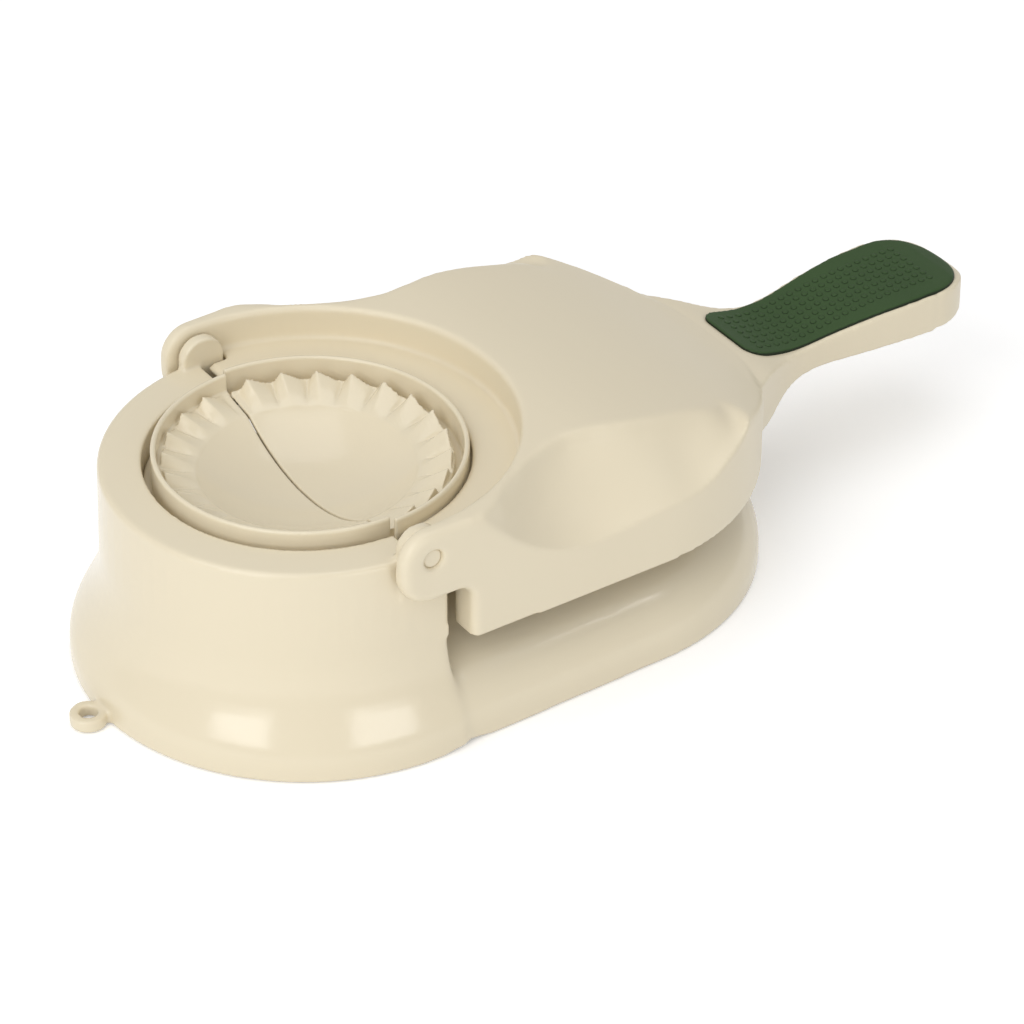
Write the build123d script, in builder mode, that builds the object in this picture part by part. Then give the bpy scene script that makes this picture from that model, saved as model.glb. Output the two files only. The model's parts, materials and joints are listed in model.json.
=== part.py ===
"""Lever press for filled dough pockets: a folding mould on a tower, and a flat dough press behind it."""
from math import cos, radians, sin, sqrt, tan

from build123d import *
import os

os.makedirs("parts", exist_ok=True)

# All sizes are millimetres. The origin is on the table under the middle of the dough press,
# +X points along the lever to the grip, +Y along the hinge line and +Z up.

# ---- layout -------------------------------------------------------------------------------
hinge_x = -77.5          # hinge line and mould centre
hinge_z = 67.4           # height of the hinge line
press_x = 0.0            # centre of the dough press
foot_drop = 0.3          # how far the rubber feet stand out below the base
wall = 2.4               # general moulded wall
running_gap = 0.4        # between faces that pass each other
seat_gap = 0.3           # between pieces that rest on or over each other
fit_gap = 0.05           # radial clearance of the hinge pins in the lever

# ---- folding mould ------------------------------------------------------------------------
crest_z = 69.4           # top of both rim rings
ring_inner_r = 43.9      # fixed half's rim ring, inside
ring_wall = 1.6          # thickness of both rim rings
split_gap = 0.3          # half of the slit between the two halves
bowl_r = 32.5            # edge of the smooth bowl, where the pleats start
bowl_edge_z = 61.0
bowl_floor_z = 50.4
bowl_wall = 1.8
pleat_r = 42.6           # outer end of the pleats
pleat_edge_z = 63.6      # height of the plain rim under the pleats' outer end
pleat_rise = 2.9         # how far each pleat's high corner stands over that rim
pleat_pitch = 14.4       # degrees from one pleat to the next
pleat_crest = 0.25       # where a pleat's high corner stands across its width, from its steep side
pleat_count = 12         # in each half
mould_foot_z = 56.0      # underside of the fixed half's mounting ring
mould_foot_t = 2.0
right_foot_z = 57.0      # underside of the moving half's mounting ring
right_foot_r = 50.5      # its outer edge
slot_floor_z = 60.5      # slot in the moving half that takes the fixed half's rim ring
mould_boss_r = 40.5      # where the fixed half's screw bosses stand
mould_boss_half = 3.0    # their radius
tab_r = 52.5             # where the moving half's screw tabs stand
tab_half = 4.0
lever_boss_half = 3.4    # radius of the lever's screw bosses

# ---- base ---------------------------------------------------------------------------------
tower_z = 65.6           # top of the tower
tower_r = 61.1           # at the top; the wall drafts outwards below
tower_draft = 0.7
tower_opening_r = 48.2
tower_top_round = 1.5
tower_back = 8.5         # flat back of the tower, behind the hinge line
tower_step = 1.4         # the tower's top stops this far in front of the hinge line
foot_r = 72.0            # tower's flared foot
flare_low_z = 5.0        # the flare runs between these heights
flare_high_z = 38.0
base_front_half = 71.0   # half width of the rear part at the hinge line
base_rear_x = 2.0        # centre of the base's round rear end
base_rear_r = 69.3
deck_z = 29.0            # flat top of the rear part
shoulder_w = 38.0        # its wide domed shoulder, quarter of an ellipse: width and height
shoulder_h = 24.0
back_top_z = 46.5        # lowered middle of the tower's back wall
lug_r = 7.0              # hinge lugs
lug_round = 1.5
lug_inner_y = 57.6
lug_outer_y = 61.5
lug_foot_z = 52.0
tower_rear_z = 60.0      # top of the tower's wall behind the hinge line
shelf_inner_r = 36.5     # shelf that carries the fixed mould half
shelf_t = 2.5
dough_plate_r = 49.0
dough_plate_t = 4.0
dough_seat_depth = 1.5   # the plate stands this deep in its collar on the deck
loop_reach = 82.4        # hanging loop's outer edge, from the hinge line
loop_r = 5.6
loop_hole_r = 2.8
loop_t = 4.0
loop_neck = 5.0

# ---- lever --------------------------------------------------------------------------------
lever_top_z = 76.4       # top of the lever round the mould
skirt_z = 35.0           # lower edge of the lever's skirt
skirt_front = 13.0       # skirt's front edge, behind the hinge line
lever_half = 68.8        # half width of the lever
ear_half = 67.7          # half width over the hinge ears
lever_rear_x = 2.5       # centre of the lever's round rear end
ear_reach = 10.2         # ears stand this far in front of the hinge line
ear_foot_z = 53.0
flange_y = 58.0          # return flanges of the skirt's front stand outside this
flange_top_z = 51.0
ear_corner = 9.5
notch_round = 4.5        # between the ears' underside and the skirt's front edge
recess_r = 62.4          # C-shaped recess that passes over the tower
shelf_z = 65.6           # lever's shelf round the moving mould half
shelf_front = 1.0        # shelf starts this far behind the hinge line
shelf_opening_r = 48.2
handle_end = 161.0       # end of the handle, from the origin
handle_end_r = 18.9      # its round end in plan
handle_under_z = 39.3    # underside of the handle
handle_top_round = 0.5
handle_under_round = 2.6
handle_wall = 3.2        # handle's side wall
grip_sink = 1.6          # depth of the pocket for the grip pad
grip_proud = 0.9         # how far the pad stands out of its pocket
grip_lip = 1.3           # rim left around the pad
grip_front = 151.0       # the pad's straight end, behind the hinge line
grip_front_half = 14.6   # its half width there
grip_corner = 6.0
pad_gap = 0.15
scoop_r = 32.0           # radius of the dished cut on each side
recess_round = 1.5       # inner edge of the C-shaped rim
mouth_round = 0.9        # outer mouths of the bearing holes
edge_round = 2.6

# ---- dough press --------------------------------------------------------------------------
press_plate_r = 47.0
press_plate_t = 3.0
dough_gap = 1.6          # thickness of a finished dough sheet
cutter_wall = 1.6        # rim that trims the sheet
plate_round = 1.0
press_gap = 0.1          # radial, between the press plate's spigot and its socket
socket_r = 18.0          # ring on the lever that holds the press plate
spigot_h = 10.0          # how far the press plate reaches into that ring
rib_t = 1.8              # ribs under the lever
rib_foot_z = 58.0
screw_post_r = 34.0      # where the dough plate's screw bosses stand
screw_post_h = 8.5       # how far they reach below the plate

# ---- fasteners, pins and feet -------------------------------------------------------------
pin_r = 3.0
pin_depth = 3.0          # length held in the lug
screw_r = 1.4
screw_head_r = 2.8
screw_head_t = 1.8
screw_length = 7.0
screw_gap = 0.05         # radial, in the pilot holes
screw_clear = 0.3        # radial, in the plain holes
foot_pad_r = 6.0
foot_pad_t = 2.4
foot_inset = 9.5         # feet, from the base's edge to their middle
foot_round = 0.6
pin_end_y = 66.7         # outer end of the hinge pins
pin_round = 0.6

# ---- working planes -----------------------------------------------------------------------
mould_axis = Axis((hinge_x, 0, 0), (0, 0, 1))
hinge_side = Plane(origin=(hinge_x, 0, 0), x_dir=(1, 0, 0), z_dir=(0, -1, 0))
hinge_front = Plane(origin=(hinge_x, 0, 0), x_dir=(0, 1, 0), z_dir=(1, 0, 0))

# ---- shared curves ------------------------------------------------------------------------
end_reach = handle_end - handle_end_r - hinge_x     # centre of the handle's round end

# Lever's top line: distance behind the hinge line and height.
top_line = [
    (45, lever_top_z), (66, 76.3), (76, 75.3), (88, 73.2), (100, 70.4), (112, 66.8), (124, 62.3), (141, 55.1),
    (155, 50.8), (168, 48.2), (180, 49.1), (190, 50.5), (204, 51.8), (end_reach, 52.1), (250, 52.1),
]
# Handle sections: distance behind the hinge line, half width, top and underside.
handle_sections = [
    (139, 36.0, 55.9, skirt_z),
    (147, 27.9, 53.1, skirt_z),
    (157, 20.9, 50.2, 35.6),
    (166, 16.8, 48.3, 38.2),
    (176, 15.6, 48.6, handle_under_z),
    (190, 17.0, 50.5, handle_under_z),
    (204, 18.5, 51.8, handle_under_z),
    (end_reach, handle_end_r, 52.1, handle_under_z),
]
# Dished cut: distance behind the hinge line, and its centre outwards and upwards.
scoop_path = [
    (5, 96.5, 106.0), (15, 92.4, 97.8), (25, 88.9, 90.7), (45, 82.6, 83.0), (58, 81.8, 81.9), (72, 82.8, 82.8),
    (84, 83.4, 83.3), (94, 80.2, 84.6), (103, 76.0, 87.9), (112, 65.2, 92.7), (118, 51.2, 95.5),
    (124, 44.0, 93.8),
]


# ---- base ---------------------------------------------------------------------------------
def tower_half(inset, low_z, top_z, top_round):
    """Half section of the tower, from its axis out to the flared foot, on the hinge's front plane."""
    with BuildSketch(hinge_front) as half:
        with BuildLine():
            foot = (foot_r - inset, flare_low_z)
            neck = (tower_r + tower_draft - inset, flare_high_z)
            Bezier(foot, (foot[0], flare_low_z + 8), (neck[0], flare_high_z - 18), neck)
            Polyline(neck, (tower_r - inset, top_z), (0, top_z), (0, low_z), (foot[0], low_z), foot)
        make_face()
        if top_round:
            fillet(half.vertices().group_by(Axis.Y)[-1].sort_by(Axis.X)[-1], top_round)
    return half.sketch


def tower_form(inset, low_z, top_z, back, top_round=0):
    """Tower: half round in front of the hinge line, then straight to a flat back."""
    half = tower_half(inset, low_z, top_z, top_round)
    with BuildPart() as form:
        revolve(half, axis=mould_axis, revolution_arc=180)
        extrude(half, amount=back, dir=(1, 0, 0))
        extrude(mirror(half, about=Plane.XZ, mode=Mode.PRIVATE), amount=back, dir=(1, 0, 0))
    return form.part


def deck_section(half, inset, low_z):
    """Half of the rear part's cross-section, from its middle out to one side, on the hinge's front plane."""
    with BuildSketch(hinge_front) as section:
        with BuildLine():
            edge, top = half - inset, deck_z - inset
            width, height = shoulder_w - inset, shoulder_h - inset
            EllipticalCenterArc((edge - width, top - height), width, height, start_angle=0, arc_size=90)
            Polyline((edge - width, top), (0, top), (0, low_z), (edge, low_z), (edge, top - height))
        make_face()
    return section.sketch


def deck_form(inset, low_z):
    """Low rear part of the base, with its domed shoulder, shrunk by inset."""
    front = tower_back - wall + inset
    rear = base_rear_x - hinge_x
    taper = (base_front_half - base_rear_r) / rear
    with BuildPart() as form:
        near_front = deck_section(base_front_half - taper * front, inset, low_z)
        near_rear = deck_section(base_rear_r, inset, low_z)
        first = Pos(front, 0, 0) * near_front
        last = Pos(rear, 0, 0) * near_rear
        loft([first, last], ruled=True)
        mirror(about=Plane.XZ)
        revolve(last, axis=Axis((base_rear_x, 0, 0), (0, 0, -1)), revolution_arc=180)
    return form.part


foot_spots = []
for centre_x, edge_r, angles in ((hinge_x, foot_r, (130, -130)), (base_rear_x, base_rear_r, (45, -45))):
    for angle in angles:
        reach = edge_r - foot_inset
        foot_spots.append((centre_x + reach * cos(radians(angle)), reach * sin(radians(angle))))
dough_seat_z = deck_z - dough_seat_depth
press_face_z = dough_seat_z + dough_plate_t + dough_gap
press_top_z = press_face_z + press_plate_t
post_foot_z = dough_seat_z - screw_post_h
post_half = 5.0          # outside radius of the base's screw posts
plate_boss_half = 3.6


def spots(radius, angles, x=hinge_x):
    """Places on a circle round a vertical axis, without turning the piece."""
    return Locations([(x + radius * cos(radians(a)), radius * sin(radians(a))) for a in angles])


mould_boss_angles = (120, 180, 240)
tab_angles = (-60, 0, 60)
post_angles = (0, 120, 240)

with BuildPart() as base_body:
    add(tower_form(0, foot_drop, tower_z, tower_back, tower_top_round))
    add(deck_form(0, foot_drop))
    add(tower_form(wall, 0, tower_z - wall, tower_back - wall), mode=Mode.SUBTRACT)
    add(deck_form(wall, 0), mode=Mode.SUBTRACT)
    # round pocket in the tower's top, with the shelf for the fixed mould half
    with BuildSketch(hinge_front):
        with BuildLine():
            Polyline(
                (shelf_inner_r, mould_foot_z - shelf_t),
                (tower_opening_r + wall, mould_foot_z - shelf_t),
                (tower_opening_r + wall, tower_z - wall / 2),
                (tower_opening_r, tower_z - wall / 2),
                (tower_opening_r, mould_foot_z),
                (shelf_inner_r, mould_foot_z),
                close=True,
            )
        make_face()
    revolve(axis=mould_axis, revolution_arc=180)
    with BuildSketch(Plane.XY.offset(tower_z)):
        with Locations((hinge_x, 0)):
            Circle(tower_opening_r)
    extrude(amount=-2 * wall, mode=Mode.SUBTRACT)
    with BuildSketch(Plane.XY.offset(mould_foot_z)):
        with spots(mould_boss_r, mould_boss_angles):
            Circle(screw_r + screw_clear)
    extrude(amount=-shelf_t, mode=Mode.SUBTRACT)
    # the top steps down behind the hinge line; the middle of the back wall is lower still
    for half_width, cut_z in ((2 * foot_r, tower_rear_z), (lug_inner_y - seat_gap, back_top_z)):
        with BuildSketch(hinge_side.offset(-half_width)):
            with Locations((-tower_step, cut_z)):
                Rectangle(tower_step + 2 * tower_back, tower_z, align=(Align.MIN, Align.MIN))
        extrude(amount=2 * half_width, mode=Mode.SUBTRACT)
    # hinge lugs with blind holes for the pins
    for side in (-1, 1):
        with BuildSketch(hinge_side.offset(-side * lug_outer_y)):
            with Locations((0, hinge_z)):
                Circle(lug_r)
            with Locations((0, lug_foot_z)):
                Rectangle(2 * lug_r, hinge_z - lug_foot_z, align=(Align.CENTER, Align.MIN))
        extrude(amount=side * (lug_outer_y - lug_inner_y))
        with BuildSketch(hinge_side.offset(-side * lug_outer_y)):
            with Locations((0, hinge_z)):
                Circle(pin_r)
        extrude(amount=side * pin_depth, mode=Mode.SUBTRACT)
    # seat of the dough plate, with screw posts under it
    with BuildSketch(Plane.XY.offset(dough_seat_z - wall)):
        with Locations((press_x, 0)):
            Circle(dough_plate_r + seat_gap + wall)
    extrude(amount=wall + dough_seat_depth)
    with BuildSketch(Plane.XY.offset(dough_seat_z)):
        with spots(screw_post_r, post_angles, press_x):
            Circle(post_half)
    extrude(amount=-(screw_post_h + wall))
    with BuildSketch(Plane.XY.offset(dough_seat_z)):
        with Locations((press_x, 0)):
            Circle(dough_plate_r + seat_gap)
    extrude(amount=wall, mode=Mode.SUBTRACT)
    with BuildSketch(Plane.XY.offset(dough_seat_z)):
        with spots(screw_post_r, post_angles, press_x):
            Circle(plate_boss_half + seat_gap)
    extrude(amount=-screw_post_h, mode=Mode.SUBTRACT)
    with BuildSketch(Plane.XY.offset(dough_seat_z)):
        with spots(screw_post_r, post_angles, press_x):
            Circle(screw_r + screw_clear)
    extrude(amount=-(screw_post_h + wall), mode=Mode.SUBTRACT)
    # cups for the rubber feet
    with BuildSketch(Plane.XY.offset(foot_drop)):
        with Locations(foot_spots):
            Circle(foot_pad_r + wall)
    extrude(amount=foot_pad_t - foot_drop + wall)
    with BuildSketch(Plane.XY.offset(foot_drop)):
        with Locations(foot_spots):
            Circle(foot_pad_r + seat_gap)
    extrude(amount=foot_pad_t - foot_drop, mode=Mode.SUBTRACT)
    # hanging loop
    with BuildSketch(Plane.XY.offset(foot_drop)) as loop:
        with Locations((hinge_x - loop_reach + loop_r, 0)):
            Circle(loop_r)
            Rectangle(loop_reach - loop_r - foot_r + wall, loop_neck, align=(Align.MIN, Align.CENTER))
            Circle(loop_hole_r, mode=Mode.SUBTRACT)
    extrude(amount=loop_t)
base_body.part.label = "base_body"
export_step(base_body.part, "parts/base_body.step")


# ---- mould halves -------------------------------------------------------------------------
bowl_sphere_r = (bowl_r**2 + (bowl_edge_z - bowl_floor_z) ** 2) / (2 * (bowl_edge_z - bowl_floor_z))


def bowl_point(radius, under=0):
    """Point on the bowl's section at a radius, on the top or a wall's thickness below it."""
    sphere = bowl_sphere_r + under
    return (radius, bowl_floor_z + bowl_sphere_r - sqrt(sphere**2 - radius**2))


def mould_half(outline, middle, axis):
    """Half mould: bowl, pleated flange and the given section of rim, centred on one direction."""
    under_r = bowl_r + bowl_wall / 2
    with BuildPart() as half:
        with BuildSketch(hinge_front) as section:
            with BuildLine():
                ThreePointArc(bowl_point(0), bowl_point(bowl_r / 2), bowl_point(bowl_r))
                Polyline(bowl_point(bowl_r), *outline, bowl_point(under_r, bowl_wall))
                under = [bowl_point(r, bowl_wall) for r in (under_r, bowl_r / 2, 0)]
                ThreePointArc(*under)
                Line(under[-1], bowl_point(0))
            make_face()
            fillet(section.vertices().group_by(Axis.Y)[-1], 0.45 * ring_wall)
        revolve(axis=axis, revolution_arc=180)
        # pleats: saw teeth that rise outwards and to one side
        spread = tan(radians(pleat_pitch / 2))
        inner = bowl_r * cos(radians(pleat_pitch / 2))
        outer = pleat_r * cos(radians(pleat_pitch / 2))
        for count in range(pleat_count):
            angle = radians(middle + (count - (pleat_count - 1) / 2) * pleat_pitch)
            across = (-sin(angle), cos(angle), 0)
            radial = Plane((hinge_x, 0, 0), x_dir=across, z_dir=(cos(angle), sin(angle), 0))
            with BuildSketch(radial.offset(inner)):
                with BuildLine():
                    reach = inner * spread
                    crest = (reach * (1 - 2 * pleat_crest), bowl_edge_z)
                    Polyline((-reach, bowl_edge_z - 1), (reach, bowl_edge_z - 1), (reach, bowl_edge_z), crest,
                             (-reach, bowl_edge_z), close=True)
                make_face()
            with BuildSketch(radial.offset(outer)):
                with BuildLine():
                    reach = outer * spread
                    crest = (reach * (1 - 2 * pleat_crest), pleat_edge_z + pleat_rise)
                    Polyline((-reach, pleat_edge_z - 1), (reach, pleat_edge_z - 1), (reach, pleat_edge_z), crest,
                             (-reach, pleat_edge_z), close=True)
                make_face()
            loft(ruled=True)
    return half.part


foot_top_z = mould_foot_z + mould_foot_t
left_rim = [
    (pleat_r, pleat_edge_z),
    (ring_inner_r, pleat_edge_z),
    (ring_inner_r, crest_z),
    (ring_inner_r + ring_wall, crest_z),
    (ring_inner_r + ring_wall, foot_top_z),
    (tower_opening_r - seat_gap, foot_top_z),
    (tower_opening_r - seat_gap, mould_foot_z),
    (ring_inner_r, mould_foot_z),
    (ring_inner_r, pleat_edge_z - bowl_wall),
]
with BuildPart() as left_mould_half:
    add(mould_half(left_rim, 180, mould_axis))
    with BuildSketch(Plane.XY.offset(mould_foot_z)):
        with spots(mould_boss_r, mould_boss_angles):
            Circle(mould_boss_half)
    extrude(amount=pleat_edge_z - bowl_wall - mould_foot_z)
    with BuildSketch(Plane.XY.offset(mould_foot_z)):
        with spots(mould_boss_r, mould_boss_angles):
            Circle(screw_r + screw_gap)
    extrude(amount=screw_length - shelf_t + 0.5, mode=Mode.SUBTRACT)
    split(bisect_by=Plane((hinge_x - split_gap, 0, 0), z_dir=(-1, 0, 0)))
left_mould_half.part.label = "left_mould_half"
export_step(left_mould_half.part, "parts/left_mould_half.step")

slot_inner_r = ring_inner_r - 2 * running_gap
right_ring_r = ring_inner_r + ring_wall + running_gap
right_rim = [
    (slot_inner_r, pleat_edge_z),
    (slot_inner_r, slot_floor_z),
    (right_ring_r, slot_floor_z),
    (right_ring_r, crest_z),
    (right_ring_r + ring_wall, crest_z),
    (right_ring_r + ring_wall, right_foot_z + mould_foot_t),
    (right_foot_r, right_foot_z + mould_foot_t),
    (right_foot_r, right_foot_z),
    (right_ring_r, right_foot_z),
    (right_ring_r, slot_floor_z - ring_wall),
    (slot_inner_r - ring_wall, slot_floor_z - ring_wall),
    (slot_inner_r - ring_wall, pleat_edge_z - bowl_wall),
]
with BuildPart() as right_mould_half:
    add(mould_half(right_rim, 0, mould_axis.reverse()))
    with BuildSketch(Plane.XY.offset(right_foot_z)):
        with spots(tab_r, tab_angles):
            Circle(tab_half)
    extrude(amount=mould_foot_t)
    with BuildSketch(Plane.XY.offset(right_foot_z)):
        with spots(tab_r, tab_angles):
            Circle(screw_r + screw_clear)
    extrude(amount=mould_foot_t, mode=Mode.SUBTRACT)
    split(bisect_by=Plane((hinge_x + split_gap, 0, 0), z_dir=(1, 0, 0)))
right_mould_half.part.label = "right_mould_half"
export_step(right_mould_half.part, "parts/right_mould_half.step")


# ---- lever --------------------------------------------------------------------------------
def lever_form(inset):
    """Lever's body without its handle, shrunk by inset; the shrunk form ends at the skirt's front."""
    if inset:
        front = [(skirt_front + inset, lever_top_z - inset), (skirt_front + inset, skirt_z - 1)]
    else:
        front = [(-ear_reach, lever_top_z), (-ear_reach, ear_foot_z), (skirt_front, ear_foot_z),
                 (skirt_front, skirt_z)]
    with BuildPart() as form:
        with BuildSketch(hinge_side.offset(-80)) as side:
            with BuildLine():
                top = Spline(*[(x, z - inset) for x, z in top_line], tangents=[(1, 0), (1, 0)])
                Polyline(top @ 0, *front, ((top @ 1).X, front[-1][1]), top @ 1)
            make_face()
            if not inset:
                corners = side.vertices().group_by(Axis.X)
                fillet(corners[0], ear_corner)
                fillet(side.vertices().filter_by_position(Axis.X, skirt_front, skirt_front).sort_by(Axis.Y)[-1],
                       notch_round)
        extrude(amount=160)
        with BuildSketch(Plane.XY.offset(20)):
            with Locations((lever_rear_x, 0)):
                Circle(lever_half - inset)
            with BuildLine():
                Polyline(
                    (hinge_x - ear_reach, -ear_half + inset),
                    (hinge_x + 45, -lever_half + inset),
                    (lever_rear_x, -lever_half + inset),
                    (lever_rear_x, lever_half - inset),
                    (hinge_x + 45, lever_half - inset),
                    (hinge_x - ear_reach, ear_half - inset),
                    close=True,
                )
            make_face()
        extrude(amount=80, mode=Mode.INTERSECT)
    return form.part


def scoop(grow, side):
    """Dished cut on one side of the lever; grown for the wall behind it."""
    with BuildPart() as cut:
        for x, out, up in scoop_path:
            with BuildSketch(Plane.YZ.offset(hinge_x + x)):
                with Locations((side * out, up)):
                    Circle(scoop_r + grow)
        loft()
    return cut.part


def handle_section(station, hollow):
    """Cross-section of the handle at a station, or of the hollow under it."""
    x, half, top, under = station
    shrink, low, high = (handle_wall, under - wall, top - wall - grip_sink) if hollow else (0, under, top)
    with BuildSketch(Plane.YZ.offset(hinge_x + x)) as section:
        with Locations((0, low)):
            Rectangle(2 * (half - shrink), high - low, align=(Align.CENTER, Align.MIN))
        if not hollow:
            corners = section.vertices().group_by(Axis.Y)
            fillet(corners[-1], handle_top_round)
            fillet(corners[0], handle_under_round)
    return section.sketch


def handle_form(hollow):
    """Handle with its half round end, or the hollow under it."""
    with BuildPart() as form:
        sections = [handle_section(station, hollow) for station in handle_sections]
        loft(sections)
        end = split(sections[-1], bisect_by=Plane.XZ, mode=Mode.PRIVATE)
        revolve(end, axis=Axis((hinge_x + end_reach, 0, 0), (0, 0, 1)), revolution_arc=180)
    return form.part


with BuildPart() as hollow:
    # space under the lever's skin, left out where its shelf, ribs, bosses and socket ring stand
    add(lever_form(wall))
    with BuildSketch(Plane.XY.offset(shelf_z - wall)):
        with Locations((hinge_x, 0)):
            Circle(recess_r + wall)
    extrude(amount=lever_top_z, mode=Mode.SUBTRACT)
    for side in (-1, 1):
        add(scoop(wall, side), mode=Mode.SUBTRACT)
    with BuildSketch(Plane.XY.offset(right_foot_z + mould_foot_t)):
        with spots(tab_r, tab_angles):
            Circle(lever_boss_half)
    extrude(amount=lever_top_z, mode=Mode.SUBTRACT)
    with BuildSketch(Plane.XY.offset(press_top_z)):
        with Locations((press_x, 0)):
            Circle(socket_r + rib_t)
            Circle(socket_r, mode=Mode.SUBTRACT)
    extrude(amount=lever_top_z, mode=Mode.SUBTRACT)
    with BuildSketch(Plane.XY.offset(rib_foot_z)):
        with PolarLocations(0, 5, start_angle=-120, angular_range=240, endpoint=True):
            with Locations((socket_r + rib_t / 2, 0)):
                Rectangle(lever_half, rib_t, align=(Align.MIN, Align.CENTER))
    extrude(amount=lever_top_z, mode=Mode.SUBTRACT)


def outer_edge(edge):
    """Whether an edge of the bare lever form belongs to the long rounded rim round its top."""
    along, middle = edge.tangent_at(0.5), edge.center()
    if abs(along.Z) > 0.98 and middle.X > hinge_x - ear_reach / 2:
        return abs(middle.X - hinge_x - skirt_front) < 1
    return middle.Z > ear_foot_z - notch_round - 1 and abs(along.Y) < 0.98


def crest_edge(edge):
    """Whether an edge is the upper end of the recess wall."""
    x, y, z = edge.position_at(0.3)
    off_line = abs(y) if x < hinge_x else sqrt((x - hinge_x) ** 2 + y**2)
    return z > lever_top_z - 3 and abs(off_line - recess_r) < 0.01


grip_line = [point for point in top_line if point[0] > grip_front - 30]


def grip_band(drop, rise, gap):
    """Solid between two offsets of the lever's top line, within the grip pad's outline."""
    with BuildPart() as band:
        with BuildSketch(hinge_side.offset(-40)):
            with BuildLine():
                high = Spline(*[(x, z + rise) for x, z in grip_line])
                low = Spline(*[(x, z - drop) for x, z in grip_line])
                Line(high @ 0, low @ 0)
                Line(high @ 1, low @ 1)
            make_face()
        extrude(amount=80)
        with BuildSketch(Plane.XY.offset(handle_under_z)) as outline:
            with BuildLine():
                lip = grip_lip + gap
                flank = Spline(
                    (hinge_x + grip_front + gap, grip_front_half - gap),
                    *[(hinge_x + x, half - lip) for x, half, _, _ in handle_sections[4:]],
                    tangents=[(1, 0), (1, 0)],
                )
                mirror(flank, about=Plane.XZ)
                far_end = flank @ 1
                ThreePointArc(far_end, (handle_end - lip, 0), (far_end.X, -far_end.Y))
                Line(flank @ 0, ((flank @ 0).X, -(flank @ 0).Y))
            make_face()
            fillet(outline.vertices().group_by(Axis.X)[0], grip_corner)
        extrude(amount=40, mode=Mode.INTERSECT)
    return band.part


with BuildPart() as lever_body:
    add(lever_form(0))
    fillet(lever_body.edges().filter_by(outer_edge), edge_round)
    add(handle_form(False))
    # C-shaped recess round the moving mould half
    with BuildSketch(Plane.XY.offset(shelf_z)) as recess:
        with Locations((hinge_x, 0)):
            Circle(recess_r)
            Rectangle(2 * ear_reach, 2 * recess_r, align=(Align.MAX, Align.CENTER))
    extrude(amount=lever_top_z, mode=Mode.SUBTRACT)
    fillet(lever_body.edges().filter_by(crest_edge), recess_round)
    for side in (-1, 1):
        add(scoop(0, side), mode=Mode.SUBTRACT)
    add(hollow.part, mode=Mode.SUBTRACT)
    add(handle_form(True), mode=Mode.SUBTRACT)
    # open front: clear of the tower's back, its lugs and the swinging mould half
    with BuildSketch(Plane.XY.offset(skirt_z - 1)):
        with Locations((hinge_x + skirt_front + wall + 0.1, 0)):
            Rectangle(4 * ear_reach, 2 * flange_y, align=(Align.MAX, Align.CENTER))
    extrude(amount=flange_top_z - skirt_z + 1, mode=Mode.SUBTRACT)
    with BuildSketch(Plane.XY.offset(flange_top_z)):
        with Locations((hinge_x + skirt_front + wall + 0.1, 0)):
            Rectangle(4 * ear_reach, 2 * recess_r, align=(Align.MAX, Align.CENTER))
    extrude(amount=shelf_z - wall - flange_top_z, mode=Mode.SUBTRACT)
    with BuildSketch(Plane.XY.offset(shelf_z - wall)):
        with Locations((hinge_x + lug_r + 1, 0)):
            Rectangle(4 * ear_reach, 2 * recess_r, align=(Align.MAX, Align.CENTER))
        with Locations((hinge_x + shelf_front, 0)):
            Rectangle(4 * ear_reach, 2 * (lug_inner_y - running_gap), align=(Align.MIN, Align.CENTER),
                      mode=Mode.SUBTRACT)
            Rectangle(4 * ear_reach, 2 * recess_r, align=(Align.MAX, Align.CENTER))
        with Locations((hinge_x, 0)):
            Circle(shelf_opening_r)
        add(recess.sketch, mode=Mode.INTERSECT)
    extrude(amount=wall, mode=Mode.SUBTRACT)
    # bearing holes in the ears
    with BuildSketch(hinge_side.offset(-lever_half)):
        with Locations((0, hinge_z)):
            Circle(pin_r + fit_gap)
    extrude(amount=2 * lever_half, mode=Mode.SUBTRACT)
    with BuildSketch(Plane((hinge_x, 0, hinge_z))) as mouth:
        with BuildLine():
            inside, face = pin_r + fit_gap, ear_half + 0.15
            turn = mouth_round * (1 - cos(radians(45)))
            ThreePointArc((inside, face - mouth_round), (inside + turn, face - turn), (inside + mouth_round, face))
            Polyline((inside + mouth_round, face), (inside + mouth_round, face + 1), (0, face + 1),
                     (0, face - mouth_round), (inside, face - mouth_round))
        make_face()
        mirror(about=Plane.XZ)
    revolve(axis=Axis((hinge_x, 0, hinge_z), (0, 1, 0)), mode=Mode.SUBTRACT)
    # pilot holes
    with BuildSketch(Plane.XY.offset(right_foot_z + mould_foot_t)):
        with spots(tab_r, tab_angles):
            Circle(screw_r + screw_gap)
    extrude(amount=screw_length - mould_foot_t + 0.5, mode=Mode.SUBTRACT)
    add(grip_band(grip_sink, 20, 0), mode=Mode.SUBTRACT)
lever_body.part.label = "lever_body"
export_step(lever_body.part, "parts/lever_body.step")

with BuildPart() as grip_pad:
    add(grip_band(grip_sink - pad_gap, grip_proud, pad_gap))
grip_pad.part.label = "grip_pad"
export_step(grip_pad.part, "parts/grip_pad.step")


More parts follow.
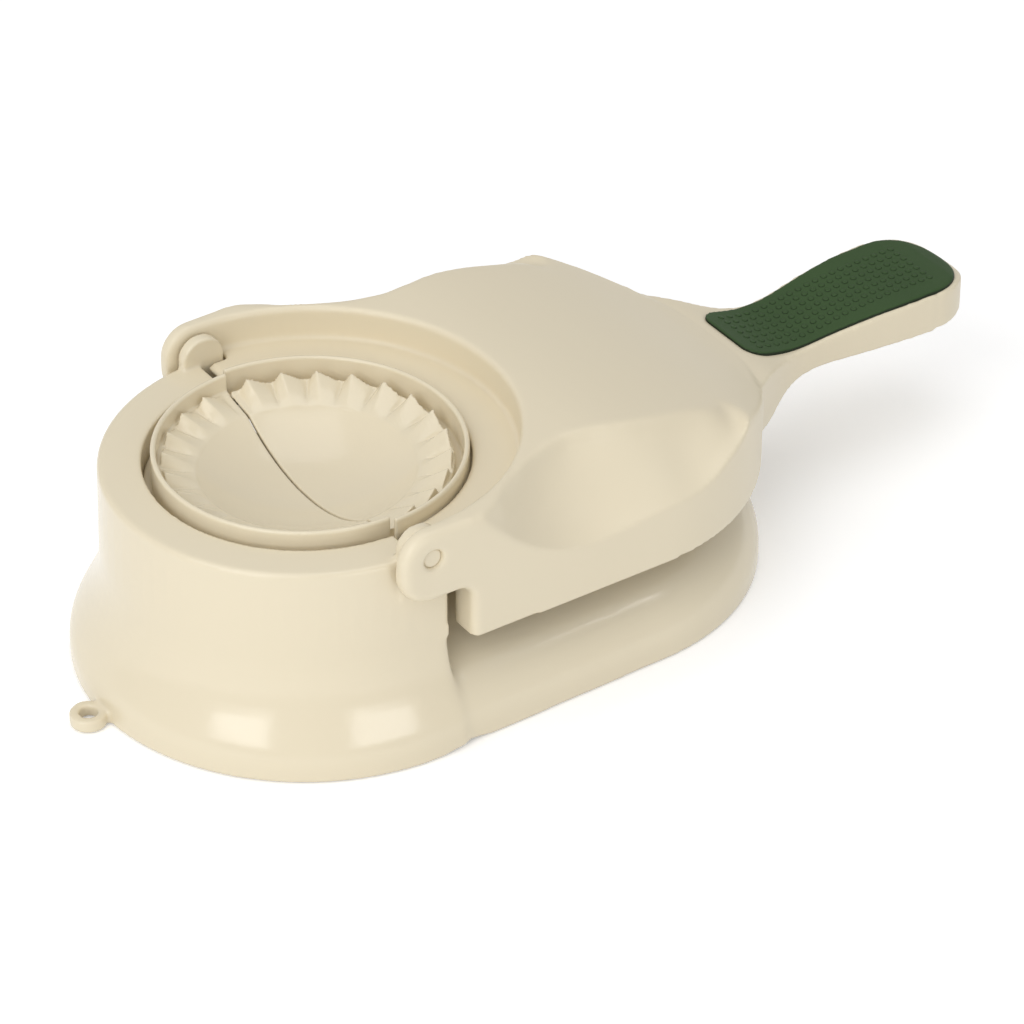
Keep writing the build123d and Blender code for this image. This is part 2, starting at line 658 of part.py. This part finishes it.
# ---- dough press --------------------------------------------------------------------------
with BuildPart() as dough_plate:
    with BuildSketch(Plane.XY.offset(dough_seat_z)):
        with Locations((press_x, 0)):
            Circle(dough_plate_r)
    extrude(amount=dough_plate_t)
    fillet(dough_plate.edges().group_by(Axis.Z)[-1], plate_round)
    with BuildSketch(Plane.XY.offset(dough_seat_z)):
        with spots(screw_post_r, post_angles, press_x):
            Circle(plate_boss_half)
    extrude(amount=-screw_post_h)
    with BuildSketch(Plane.XY.offset(post_foot_z)):
        with spots(screw_post_r, post_angles, press_x):
            Circle(screw_r + screw_gap)
    extrude(amount=screw_length - wall + 0.5, mode=Mode.SUBTRACT)
dough_plate.part.label = "dough_plate"
export_step(dough_plate.part, "parts/dough_plate.step")

with BuildPart() as press_plate:
    with BuildSketch(Plane.XY.offset(press_face_z)):
        with Locations((press_x, 0)):
            Circle(press_plate_r)
    extrude(amount=press_plate_t)
    with BuildSketch(Plane.XY.offset(press_face_z)):
        with Locations((press_x, 0)):
            Circle(press_plate_r)
            Circle(press_plate_r - cutter_wall, mode=Mode.SUBTRACT)
    extrude(amount=seat_gap - dough_gap)
    with BuildSketch(Plane.XY.offset(press_top_z)):
        with Locations((press_x, 0)):
            Circle(socket_r - press_gap)
            Circle(socket_r - press_gap - wall, mode=Mode.SUBTRACT)
    extrude(amount=spigot_h)
press_plate.part.label = "press_plate"
export_step(press_plate.part, "parts/press_plate.step")


# ---- pins, screws and feet ----------------------------------------------------------------
for name, side in (("near_hinge_pin", -1), ("far_hinge_pin", 1)):
    with BuildPart() as pin:
        with BuildSketch(hinge_side.offset(-side * (lug_outer_y - pin_depth))):
            with Locations((0, hinge_z)):
                Circle(pin_r)
        extrude(amount=-side * (pin_end_y - lug_outer_y + pin_depth))
        fillet(pin.edges().sort_by(Axis.Y)[-1 if side > 0 else 0], pin_round)
    pin.part.label = name
    export_step(pin.part, f"parts/{name}.step")


def screw_set(radius, angles, x, head_z):
    """Pan-head screws put in from below; head_z is where their heads meet the plastic."""
    with BuildPart() as screws:
        with BuildSketch(Plane.XY.offset(head_z)):
            with spots(radius, angles, x):
                Circle(screw_head_r)
        extrude(amount=-screw_head_t)
        fillet(screws.edges().group_by(Axis.Z)[0], screw_head_t / 2)
        with BuildSketch(Plane.XY.offset(head_z)):
            with spots(radius, angles, x):
                Circle(screw_r)
        extrude(amount=screw_length)
        with BuildSketch(Plane.XY.offset(head_z - screw_head_t)):
            with spots(radius, angles, x):
                Rectangle(2.4, 0.6)
                Rectangle(0.6, 2.4)
        extrude(amount=1, mode=Mode.SUBTRACT)
    return screws.part


screw_groups = [
    ("left_mould_screws", mould_boss_r, mould_boss_angles, hinge_x, mould_foot_z - shelf_t),
    ("right_mould_screws", tab_r, tab_angles, hinge_x, right_foot_z),
    ("dough_plate_screws", screw_post_r, post_angles, press_x, post_foot_z - wall),
]
for name, *place in screw_groups:
    screws = screw_set(*place)
    screws.label = name
    export_step(screws, f"parts/{name}.step")

foot_names = ("far_left_foot", "near_left_foot", "far_right_foot", "near_right_foot")
for name, spot in zip(foot_names, foot_spots):
    with BuildPart() as foot:
        with Locations(spot):
            Cylinder(foot_pad_r, foot_pad_t, align=(Align.CENTER, Align.CENTER, Align.MIN))
        fillet(foot.edges().group_by(Axis.Z)[0], foot_round)
    foot.part.label = name
    export_step(foot.part, f"parts/{name}.step")
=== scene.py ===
import json
from math import cos, radians, sin

import bmesh
import bpy
import numpy as np
from mathutils import Matrix, Vector


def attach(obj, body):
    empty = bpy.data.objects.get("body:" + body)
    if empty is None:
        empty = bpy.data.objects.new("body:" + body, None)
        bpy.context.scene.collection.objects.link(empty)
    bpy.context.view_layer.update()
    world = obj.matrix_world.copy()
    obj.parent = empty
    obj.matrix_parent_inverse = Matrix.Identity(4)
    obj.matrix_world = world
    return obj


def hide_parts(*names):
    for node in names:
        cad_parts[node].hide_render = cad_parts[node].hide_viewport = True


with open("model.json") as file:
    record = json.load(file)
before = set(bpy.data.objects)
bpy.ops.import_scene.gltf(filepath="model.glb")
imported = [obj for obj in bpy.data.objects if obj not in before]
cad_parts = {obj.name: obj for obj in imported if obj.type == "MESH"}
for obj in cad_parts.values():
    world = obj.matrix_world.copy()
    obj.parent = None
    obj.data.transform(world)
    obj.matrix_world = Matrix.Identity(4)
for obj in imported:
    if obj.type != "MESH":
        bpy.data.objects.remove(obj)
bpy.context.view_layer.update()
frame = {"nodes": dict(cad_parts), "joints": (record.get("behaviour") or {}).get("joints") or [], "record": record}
nodes = frame["nodes"]
print("frame loaded:", len(nodes), "pieces")


def connect(tree, value, socket):
    # a wire is linked to the socket, a plain value is set on it
    if isinstance(value, Wire):
        tree.links.new(value.socket, socket)
    else:
        socket.default_value = value


class Wire:
    # a node's output that takes plain arithmetic
    def __init__(self, tree, socket):
        self.tree = tree
        self.socket = socket

    def maths(self, operation, first, second):
        made = self.tree.nodes.new("ShaderNodeMath")
        made.operation = operation
        for place, value in enumerate((first, second)):
            connect(self.tree, value, made.inputs[place])
        return Wire(self.tree, made.outputs[0])

    def __add__(self, other):
        return self.maths("ADD", self, other)

    def __radd__(self, other):
        return self.maths("ADD", other, self)

    def __sub__(self, other):
        return self.maths("SUBTRACT", self, other)

    def __rsub__(self, other):
        return self.maths("SUBTRACT", other, self)

    def __mul__(self, other):
        return self.maths("MULTIPLY", self, other)

    def __rmul__(self, other):
        return self.maths("MULTIPLY", other, self)


class Board:
    # a node tree that takes new nodes
    def __init__(self, tree):
        self.tree = tree

    def node(self, kind, settings=None, **sockets):
        made = self.tree.nodes.new(kind)
        for key, value in (settings or {}).items():
            setattr(made, key, value)
        for key, value in sockets.items():
            connect(self.tree, value, made.inputs[key.replace("_", " ")])
        return made

    def out(self, made, socket=0):
        return Wire(self.tree, made.outputs[socket])


noiseRoughness = 0.55


class Finish(Board):
    # a material with its Principled shader
    def __init__(self, name):
        self.material = bpy.data.materials.new(name)
        self.material.use_nodes = True
        super().__init__(self.material.node_tree)
        self.shader = self.tree.nodes["Principled BSDF"]

    def noise(self, scale, detail):
        place = self.out(self.node("ShaderNodeTexCoord"), "Object")
        made = self.node("ShaderNodeTexNoise", Vector=place, Scale=scale, Detail=detail,
                         Roughness=noiseRoughness)
        return self.out(made)

    def mixColour(self, factor, first, second):
        made = self.node("ShaderNodeMix", {"data_type": "RGBA"})
        for place, value in ((0, factor), (6, first), (7, second)):  # 6 and 7 are the colours
            connect(self.tree, value, made.inputs[place])
        return self.out(made, 2)

    def feed(self, name, value):
        connect(self.tree, value, self.shader.inputs[name])

    def dress(self, look, **bumpSockets):
        # mottled colour, uneven gloss and a fine bump; each noise is given by its scale and detail
        body = self.mixColour(self.noise(*look["mottle"]), colour(*look["deep"]), colour(*look["light"]))
        self.feed("Base Color", body)
        self.feed("Roughness", self.noise(*look["glossPatch"]) * look["glossSpread"] + look["gloss"])
        bump = self.node("ShaderNodeBump", Strength=look["bump"], Distance=look["bumpDepth"],
                         Height=self.noise(*look["grain"]), **bumpSockets)
        self.feed("Normal", self.out(bump))
        return body


def colour(red, green, blue):
    # display values 0-255 to linear
    def linear(value):
        value = value / 255
        return value / 12.92 if value <= 0.04045 else ((value + 0.055) / 1.055) ** 2.4
    return (linear(red), linear(green), linear(blue), 1.0)


# cream plastic: faint flow clouding, slightly uneven gloss, softened mould edges; the lever is more satin
creamLook = {"light": (228, 217, 191), "deep": (227, 215, 188), "mottle": (14, 4),
             "gloss": 0.15, "glossSpread": 0.03, "glossPatch": (60, 3),
             "bump": 0.01, "bumpDepth": 0.001, "grain": (35, 2), "edgeSoftness": 0.0004, "edgeSamples": 6}
satinLook = {**creamLook, "gloss": 0.34}


def creamPlastic(name, look):
    finish = Finish(name)
    edge = finish.node("ShaderNodeBevel", {"samples": look["edgeSamples"]}, Radius=look["edgeSoftness"])
    finish.dress(look, Normal=finish.out(edge))
    return finish.material


# soft-touch rubber of the grip: matt, with a very fine tooth, and painted shade round its edge where its sides
# turn away from above
gripLook = {"light": (55, 82, 40), "deep": (47, 71, 35), "mottle": (40, 4),
            "gloss": 0.5, "glossSpread": 0.08, "glossPatch": (300, 2),
            "bump": 0.2, "bumpDepth": 0.0002, "grain": (2600, 2),
            # edge is the colour of the painted shade on the pad's sides; the lean gives the upward share of the
            # normal over which that painted shade fades out
            "edge": (24, 38, 18), "edgeLean": (0.35, 0.9), "specular": 0.3}


def gripRubber():
    finish = Finish("gripRubber")
    body = finish.dress(gripLook)
    # painted shade: the colour darkens to the edge colour where the surface faces sideways rather than up
    surface = finish.out(finish.node("ShaderNodeTexCoord"), "Normal")
    upward = finish.out(finish.node("ShaderNodeSeparateXYZ", Vector=surface), "Z")
    shadeFrom, shadeTo = gripLook["edgeLean"]
    top = finish.node("ShaderNodeMapRange", {"interpolation_type": "SMOOTHSTEP"}, Value=upward,
                      From_Min=shadeFrom, From_Max=shadeTo)
    finish.feed("Base Color", finish.mixColour(finish.out(top), colour(*gripLook["edge"]), body))
    finish.feed("Specular IOR Level", gripLook["specular"])
    return finish.material


# plain rubber of the feet
footLook = {"light": (214, 205, 180), "deep": (196, 186, 160), "mottle": (120, 4),
            "gloss": 0.7, "glossSpread": 0.15, "glossPatch": (500, 2),
            "bump": 0.3, "bumpDepth": 0.0002, "grain": (3000, 2)}


def footRubber():
    finish = Finish("footRubber")
    finish.dress(footLook)
    return finish.material


# zinc-plated screws
screwLook = {"light": (205, 205, 202), "deep": (150, 150, 148), "mottle": (400, 5),
             "gloss": 0.28, "glossSpread": 0.2, "glossPatch": (900, 3),
             "bump": 0.2, "bumpDepth": 0.0001, "grain": (2500, 3)}


def screwSteel():
    finish = Finish("screwSteel")
    finish.dress(screwLook)
    finish.feed("Metallic", 1.0)
    return finish.material


finishes = {"cream_plastic": creamPlastic("creamPlastic", creamLook),
            "cream_satin": creamPlastic("creamSatin", satinLook),
            "grip_rubber": gripRubber(), "foot_rubber": footRubber(), "screw_steel": screwSteel()}
for subpart in frame["record"]["subparts"]:
    piece = nodes[subpart["node"]]
    piece.data.materials.clear()
    piece.data.materials.append(finishes[subpart["material_slot"]])
print("finishes made:", len(finishes))


# moulded skins: fine even copies of the moulded pieces, with eased edges
# the shape numbers below are millimetres, and x is counted from the hinge line
hingeX = frame["joints"][0]["pos_m"][0]  # metres
perMetre = 1000  # millimetres


def along(table, x, column=1):
    return np.interp(x, [row[0] for row in table], [row[column] for row in table])


leverShape = {
    # x, and how far the ridge of the dished side moves outwards
    "ridgeShift": [(10, 0.0), (25, 2.4), (36, 1.2), (45, -0.7), (58, -3.0), (72, -2.2), (84, -2.3),
                   (94, -0.6), (103, 0.0), (112, 1.7), (118, 3.6), (124, 5.6), (132, 2.0), (140, 0.0)],
    # x, half width of the ridge before the move, height of the top, half width of the side
    "ridge": [(10, 66.0, 76.4, 67.9), (25, 60.3, 76.4, 68.4), (45, 51.3, 76.4, 68.8),
              (58, 50.3, 76.4, 68.8), (72, 51.5, 75.8, 68.8), (84, 52.7, 74.0, 68.7),
              (94, 50.8, 71.8, 67.4), (103, 49.7, 69.5, 64.9), (112, 46.4, 66.8, 60.9),
              (118, 42.9, 64.6, 57.3), (124, 38.4, 62.3, 52.9), (140, 30.0, 55.6, 42.0)],
    "inwardReach": 16, "leastWidth": 0.5,  # how far inwards the move fades out
    "fadeDepth": 14, "fadeHeight": 10,  # how far down
    "recessR": 62.4, "recessMargin": 0.4, "recessFade": 3.0,  # the round recess of the head keeps its place
    # x, half width, underside and top of the handle as they are, and the half width and top that it gets
    "handle": [(180, 15.8, 39.3, 49.1, 15.8, 49.1), (190, 17.0, 39.3, 50.5, 17.0, 50.5),
               (196, 17.71, 39.5, 51.04, 17.6, 51.15), (200, 18.12, 39.53, 51.38, 18.0, 51.5),
               (204, 18.5, 39.27, 51.83, 18.4, 51.8), (208, 18.89, 38.71, 52.39, 18.65, 51.95),
               (212, 19.26, 38.0, 52.99, 18.8, 52.05), (216, 19.47, 37.57, 53.32, 18.9, 52.1),
               (219, 19.14, 38.58, 52.61, 18.9, 52.1), (221, 18.82, 39.3, 52.1, 18.82, 52.1)],
    # x, and how far the top of the handle's end drops
    "drop": [(222, 0.0), (226, 0.2), (230, 0.5), (234, 1.4), (236, 2.3), (238.5, 4.1)],
    "underZ": 39.3, "topZ": 52.1, "dropMost": 1.1,
    # extra easing: width of its band along the ridge, and its strength and least height in the dish
    "ridgeEase": 5.0, "dishEase": 0.8, "dishZ": 50, "dishMargin": 1.0,
    "easeFrom": 14, "easeTo": 128, "easeMargin": 2.2,
}


def dropEnd(points):
    # the handle's top falls away towards its end
    underZ, topZ = leverShape["underZ"], leverShape["topZ"]
    share = np.clip((points[:, 2] - underZ) / (topZ - underZ), 0, leverShape["dropMost"])
    points[:, 2] -= along(leverShape["drop"], points[:, 0]) * share
    return points


def evenHandle(points):
    # one steady width and height towards the handle's end
    table, underZ = leverShape["handle"], leverShape["underZ"]
    x, y, z = points.T
    isHandle = (x > table[0][0]) & (x < table[-1][0])
    half, under, top, wantHalf, wantTop = (along(table, x, column) for column in range(1, 6))
    evened = underZ + (z - under) * (wantTop - underZ) / (top - under)
    points[isHandle, 1] *= (wantHalf / half)[isHandle]
    points[isHandle, 2] = evened[isHandle]
    return points


def bendLever(points):
    # the ridge over each dished side moves outwards or inwards
    x, y, z = evenHandle(points).T
    half = abs(y)
    ridge, top, side = (along(leverShape["ridge"], x, column) for column in (1, 2, 3))
    outward = np.clip((side - half) / np.maximum(side - ridge, leverShape["leastWidth"]), 0, 1)
    inward = np.clip((half - ridge + leverShape["inwardReach"]) / leverShape["inwardReach"], 0, 1)
    share = np.where(half > ridge, outward, inward)
    share = share * share * (3 - 2 * share)
    recess = leverShape["recessR"] + leverShape["recessMargin"]
    clear = np.clip((np.hypot(x, y) - recess) / leverShape["recessFade"], 0, 1)
    high = np.clip((z - (top - leverShape["fadeDepth"])) / leverShape["fadeHeight"], 0, 1)
    points[:, 1] += np.sign(y) * along(leverShape["ridgeShift"], x) * share * clear * high
    return dropEnd(points)


def easeLever(points):
    # 1 on the ridges, less in the dished sides, nothing elsewhere
    x, y, z = points.T
    half = abs(y)
    ridge, top, side = (along(leverShape["ridge"], x, column) for column in (1, 2, 3))
    ridge = ridge + along(leverShape["ridgeShift"], x)
    onRidge = np.exp(-((half - ridge) ** 2 + (z - top) ** 2) / (2 * leverShape["ridgeEase"] ** 2))
    margin = leverShape["dishMargin"]
    inDish = (half > ridge) & (half < side - margin) & (z < top - margin) & (z > leverShape["dishZ"])
    kept = (x > leverShape["easeFrom"]) & (x < leverShape["easeTo"])
    kept &= np.hypot(x, y) > leverShape["recessR"] + leverShape["easeMargin"]
    return np.where(kept, np.maximum(onRidge, leverShape["dishEase"] * inDish), 0.0)


# the pad's end, and the filling of its pocket: two factors, and how far it sinks, in metres
padShape = {"shorten": 0.07, "shortenFrom": 219.6,
            "fillLonger": 1.006, "fillWider": 1.017, "fillSink": 0.0013}


def bendPad(points):
    # the pad stops a little short of the handle's end
    points[:, 0] -= padShape["shorten"] * np.maximum(points[:, 0] - padShape["shortenFrom"], 0)
    return dropEnd(points)


def fillPocket(mesh):
    # the lever's pocket is filled up to just under the pad's face, so that its thin rim stays whole
    pad = bmesh.new()
    pad.from_mesh(nodes["grip_pad"].data)
    middle = sum((corner.co for corner in pad.verts), Vector()) / len(pad.verts)
    for corner in pad.verts:
        corner.co.x = middle.x + (corner.co.x - middle.x) * padShape["fillLonger"]
        corner.co.y *= padShape["fillWider"]
        corner.co.z -= padShape["fillSink"]
    filling = bpy.data.meshes.new("padFilling")
    pad.to_mesh(filling)
    pad.free()
    solid = bmesh.new()
    solid.from_mesh(mesh)
    solid.from_mesh(filling)
    solid.to_mesh(mesh)
    solid.free()


# inner and outer reach of the pleats, their lowest line and how much more they stand out
pleatShape = {"from": 32.5, "to": 43.2, "edgeZ": 61.0, "slope": 0.257, "lowMargin": 0.9, "topZ": 68.0,
              "fadeIn": 3, "fadeOut": 0.6, "gain": 0.42}


def crispPleats(points):
    # the pleats stand out more from their mean height at each distance from the bowl's middle
    x, y, z = points.T
    away = np.hypot(x, y)
    beyond, within = away - pleatShape["from"], pleatShape["to"] - away
    lowZ = pleatShape["edgeZ"] + beyond * pleatShape["slope"] - pleatShape["lowMargin"]
    inPleats = (beyond > 0) & (within > 0) & (z > lowZ) & (z < pleatShape["topZ"])
    ring = np.round(away * 2).astype(int)  # rings half a millimetre wide
    count = np.maximum(np.bincount(ring[inPleats], minlength=ring.max() + 1), 1)
    mean = (np.bincount(ring[inPleats], z[inPleats], ring.max() + 1) / count)[ring]
    part = np.clip(beyond / pleatShape["fadeIn"], 0, 1) * np.clip(within / pleatShape["fadeOut"], 0, 1)
    points[inPleats, 2] += (pleatShape["gain"] * part * (z - mean))[inPleats]
    return points


# where the tower's flared foot meets the low rear part
baseShape = {"meetX": 8.5, "meetY": 73, "reach": 7, "strength": 1.3, "topZ": 34, "innerY": 52}


def easeBase(points):
    x, y, z = points.T
    away = np.hypot(x - baseShape["meetX"], np.maximum(abs(y) - baseShape["meetY"], 0))
    near = np.clip(baseShape["strength"] - away / baseShape["reach"], 0, 1)
    return near * (z < baseShape["topZ"]) * (abs(y) > baseShape["innerY"])


weldGap = 1e-6  # metres


def evenMesh(name, node, cell, fill, twin):
    # the node's mesh in even cells; a twin has its far side made from its near side
    mesh = nodes[node].data.copy()
    if fill:
        fill(mesh)
    rough = bpy.data.objects.new(name + "Rough", mesh)
    bpy.context.scene.collection.objects.link(rough)
    weld = rough.modifiers.new("weld", "WELD")
    weld.merge_threshold = weldGap
    if twin:
        halves = rough.modifiers.new("halves", "MIRROR")
        halves.use_axis = halves.use_bisect_axis = halves.use_bisect_flip_axis = (False, True, False)
    even = rough.modifiers.new("even", "REMESH")
    even.mode = "VOXEL"
    even.voxel_size = cell
    mesh = bpy.data.meshes.new_from_object(rough.evaluated_get(bpy.context.evaluated_depsgraph_get()))
    bpy.data.objects.remove(rough)
    return mesh


def smoothed(mesh, points, rounds, extra, ease):
    # each corner goes half way to the mean of its neighbours, in the extra rounds only as far as ease says
    count = len(points)
    pairs = np.empty(len(mesh.edges) * 2, dtype=np.int32)
    mesh.edges.foreach_get("vertices", pairs)
    first, second = pairs.reshape(-1, 2).T
    links = np.maximum(np.bincount(first, minlength=count) + np.bincount(second, minlength=count), 1)
    for turn in range(rounds + extra):
        weight = 1.0 if turn < rounds else ease(points)
        mean = np.stack([np.bincount(first, points[second, axis], count)
                         + np.bincount(second, points[first, axis], count) for axis in range(3)], 1)
        points += (0.5 * weight * (mean / links[:, None] - points).T).T
    return points


def thin(piece, most):
    # at most so many triangles; the even mesh is all four-sided
    triangles = 2 * len(piece.data.polygons)
    if triangles > most:
        thinner = piece.modifiers.new("thinner", "DECIMATE")
        thinner.ratio = most / triangles
        mesh = bpy.data.meshes.new_from_object(piece.evaluated_get(bpy.context.evaluated_depsgraph_get()))
        piece.modifiers.remove(thinner)
        piece.data = mesh


bodyOf = {node: body for body, held in frame["record"]["behaviour"]["bodies"].items() for node in held}


def makeSkin(name, node, finish, cell, rounds, most, extra=0, bend=None, ease=None, fill=None, twin=False):
    mesh = evenMesh(name, node, cell, fill, twin)
    flat = np.empty(len(mesh.vertices) * 3)
    mesh.vertices.foreach_get("co", flat)
    points = (flat.reshape(-1, 3) - (hingeX, 0, 0)) * perMetre
    if bend:
        points = bend(points)
    points = smoothed(mesh, points, rounds, extra, ease)
    mesh.vertices.foreach_set("co", (points / perMetre + (hingeX, 0, 0)).ravel())
    mesh.update()
    piece = bpy.data.objects.new(name, mesh)
    bpy.context.scene.collection.objects.link(piece)
    thin(piece, most)
    piece.data.shade_smooth()
    piece.data.materials.clear()
    piece.data.materials.append(finishes[finish])
    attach(piece, bodyOf[node])
    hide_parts(node)
    return piece


# cell size in metres, rounds of smoothing and most triangles of each skin
skins = {
    "leverSkin": {"node": "lever_body", "finish": "cream_satin", "cell": 0.0007, "rounds": 3, "extra": 22,
                  "most": 190000, "bend": bendLever, "ease": easeLever, "fill": fillPocket, "twin": True},
    "baseSkin": {"node": "base_body", "finish": "cream_plastic", "cell": 0.0006, "rounds": 3, "extra": 40,
                 "most": 190000, "ease": easeBase},
    "leftMouldSkin": {"node": "left_mould_half", "finish": "cream_plastic", "cell": 0.00035, "rounds": 1,
                      "most": 150000, "bend": crispPleats},
    "rightMouldSkin": {"node": "right_mould_half", "finish": "cream_plastic", "cell": 0.00035, "rounds": 1,
                       "most": 150000, "bend": crispPleats},
    "gripSkin": {"node": "grip_pad", "finish": "grip_rubber", "cell": 0.0005, "rounds": 3, "most": 60000,
                 "bend": bendPad},
}
skinPieces = {name: makeSkin(name, **settings) for name, settings in skins.items()}
print("moulded skins made:", len(skinPieces))


# fine bumps of the grip: rows of low domes set on the pad from above, in metres
gripDots = {"Pitch": 0.0033, "Columns": 21, "Rows": 7, "Start": 0.0795, "Radius": 0.0011, "Height": 0.0003}
dotMaking = {"segments": 9, "rings": 5, "castFrom": 0.09, "castLength": 0.2}


def dotTree():
    tree = bpy.data.node_groups.new("gripDots", "GeometryNodeTree")
    tree.interface.new_socket("Geometry", in_out="OUTPUT", socket_type="NodeSocketGeometry")
    for key, value in gripDots.items():
        kind = "NodeSocketInt" if isinstance(value, int) else "NodeSocketFloat"
        tree.interface.new_socket(key, in_out="INPUT", socket_type=kind)
    tree.interface.new_socket("Pad", in_out="INPUT", socket_type="NodeSocketObject")
    board = Board(tree)
    given = board.node("NodeGroupInput")
    pitch, columns, rows, start, radius, height, pad = (
        board.out(given, key) for key in ("Pitch", "Columns", "Rows", "Start", "Radius", "Height", "Pad"))

    length = (columns - 1) * pitch
    grid = board.node("GeometryNodeMeshGrid", Size_X=length, Size_Y=(rows - 1) * pitch, Vertices_X=columns,
                      Vertices_Y=rows)
    shift = board.node("ShaderNodeCombineXYZ", X=start + length * 0.5, Z=dotMaking["castFrom"])
    raised = board.node("GeometryNodeTransform", Geometry=board.out(grid, "Mesh"),
                        Translation=board.out(shift))
    target = board.node("GeometryNodeObjectInfo", {"transform_space": "RELATIVE"}, Object=pad)
    ray = board.node("GeometryNodeRaycast", Target_Geometry=board.out(target, "Geometry"),
                     Ray_Direction=(0, 0, -1), Ray_Length=dotMaking["castLength"])
    seated = board.node("GeometryNodeSetPosition", Geometry=board.out(raised),
                        Position=board.out(ray, "Hit Position"))
    dome = board.node("GeometryNodeMeshUVSphere", Segments=dotMaking["segments"], Rings=dotMaking["rings"])
    size = board.node("ShaderNodeCombineXYZ", X=radius, Y=radius, Z=height)
    lean = board.node("FunctionNodeAlignEulerToVector", {"axis": "Z"}, Vector=board.out(ray, "Hit Normal"))
    spread = board.node("GeometryNodeInstanceOnPoints", Points=board.out(seated),
                        Instance=board.out(dome, "Mesh"), Selection=board.out(ray, "Is Hit"),
                        Rotation=board.out(lean), Scale=board.out(size))
    real = board.node("GeometryNodeRealizeInstances", Geometry=board.out(spread))
    painted = board.node("GeometryNodeSetMaterial", Geometry=board.out(real),
                         Material=finishes["grip_rubber"])
    board.node("NodeGroupOutput", Geometry=board.out(painted))
    return tree


def makeGripDots():
    holder = bpy.data.objects.new("gripDotsHolder", bpy.data.meshes.new("gripDotsHolder"))
    bpy.context.scene.collection.objects.link(holder)
    modifier = holder.modifiers.new("dots", "NODES")
    modifier.node_group = dotTree()
    values = {**gripDots, "Pad": skinPieces["gripSkin"]}
    for socket in modifier.node_group.interface.items_tree:
        if socket.in_out == "INPUT":
            modifier[socket.identifier] = values[socket.name]
    mesh = bpy.data.meshes.new_from_object(holder.evaluated_get(bpy.context.evaluated_depsgraph_get()))
    bpy.data.objects.remove(holder)
    mesh.shade_smooth()
    dots = bpy.data.objects.new("gripDots", mesh)
    bpy.context.scene.collection.objects.link(dots)
    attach(dots, "lever")
    print("grip dots:", len(mesh.polygons), "faces")


makeGripDots()


# the floor is a little whiter where it is seen directly or in a reflection; its light on the object stays
floorLook = {"shade": (250, 250, 250), "half": 3.0, "roughness": 0.9, "lift": 0.24}


def makeFloor():
    half = floorLook["half"]
    mesh = bpy.data.meshes.new("floor")
    corners = [(-half, -half, 0), (half, -half, 0), (half, half, 0), (-half, half, 0)]
    mesh.from_pydata(corners, [], [(0, 1, 2, 3)])
    floor = bpy.data.objects.new("floor", mesh)
    bpy.context.scene.collection.objects.link(floor)
    finish = Finish("floorPaint")
    finish.feed("Base Color", colour(*floorLook["shade"]))
    finish.feed("Roughness", floorLook["roughness"])
    path = finish.node("ShaderNodeLightPath")
    seen = (finish.out(path, "Is Camera Ray") + finish.out(path, "Is Glossy Ray")
            + finish.out(path, "Is Transmission Ray"))
    lift = floorLook["lift"]
    finish.feed("Emission Color", finish.mixColour(seen, (0, 0, 0, 1), (lift, lift, lift, 1)))
    finish.feed("Emission Strength", 1.0)
    mesh.materials.append(finish.material)


# each lamp: direction and height it stands in, in degrees, distance and size in metres, power in watts
lamps = {
    "softLeft": {"turn": 200, "height": 42, "away": 1.6, "size": (1.4, 1.0), "power": 8.3},
    "overhead": {"turn": 60, "height": 84, "away": 1.6, "size": (1.2, 1.0), "power": 4.4},
    "leftLow": {"turn": -156, "height": 14, "away": 1.2, "size": (0.5, 0.16), "power": 1.2},
    "frontLow": {"turn": -94, "height": 14, "away": 1.2, "size": (0.6, 0.16), "power": 1.3},
    "rightHigh": {"turn": -47, "height": 43, "away": 1.2, "size": (0.07, 0.05), "power": 0.14},
}
lampAim = Vector((0, 0, 0.03))
worldLook = {"shade": (1.0, 1.0, 1.0), "strength": 0.55}


def makeLamps():
    for name, lamp in lamps.items():
        light = bpy.data.lights.new(name, "AREA")
        light.shape = "RECTANGLE"
        light.size, light.size_y = lamp["size"]
        light.energy = lamp["power"]
        turn, height = radians(lamp["turn"]), radians(lamp["height"])
        away = Vector((cos(height) * cos(turn), cos(height) * sin(turn), sin(height)))
        place = bpy.data.objects.new(name, light)
        place.matrix_world = (Matrix.Translation(away * lamp["away"] + lampAim)
                              @ away.to_track_quat("Z", "Y").to_matrix().to_4x4())
        bpy.context.scene.collection.objects.link(place)


def makeWorld():
    world = bpy.data.worlds.new("studio")
    bpy.context.scene.world = world
    world.use_nodes = True
    back = world.node_tree.nodes["Background"]
    back.inputs["Color"].default_value = (*worldLook["shade"], 1)
    back.inputs["Strength"].default_value = worldLook["strength"]


cameraView = {"at": (-0.68214, -0.99816, 0.85681), "right": (0.82768, -0.56121, 0.0),
              "up": (0.32077, 0.47308, 0.82056), "back": (-0.46050, -0.67915, 0.57157),
              "lens": 170.15, "sensor": 36, "clipStart": 0.05}


def makeCamera():
    data = bpy.data.cameras.new("camera")
    data.lens = cameraView["lens"]
    data.sensor_width = cameraView["sensor"]
    data.clip_start = cameraView["clipStart"]
    camera = bpy.data.objects.new("camera", data)
    turn = Matrix([cameraView["right"], cameraView["up"], cameraView["back"]]).transposed()
    camera.matrix_world = Matrix.Translation(cameraView["at"]) @ turn.to_4x4()
    bpy.context.scene.collection.objects.link(camera)
    bpy.context.scene.camera = camera


makeFloor()
makeLamps()
makeWorld()
makeCamera()
bpy.context.scene.view_settings.view_transform = "Standard"
print("studio set")
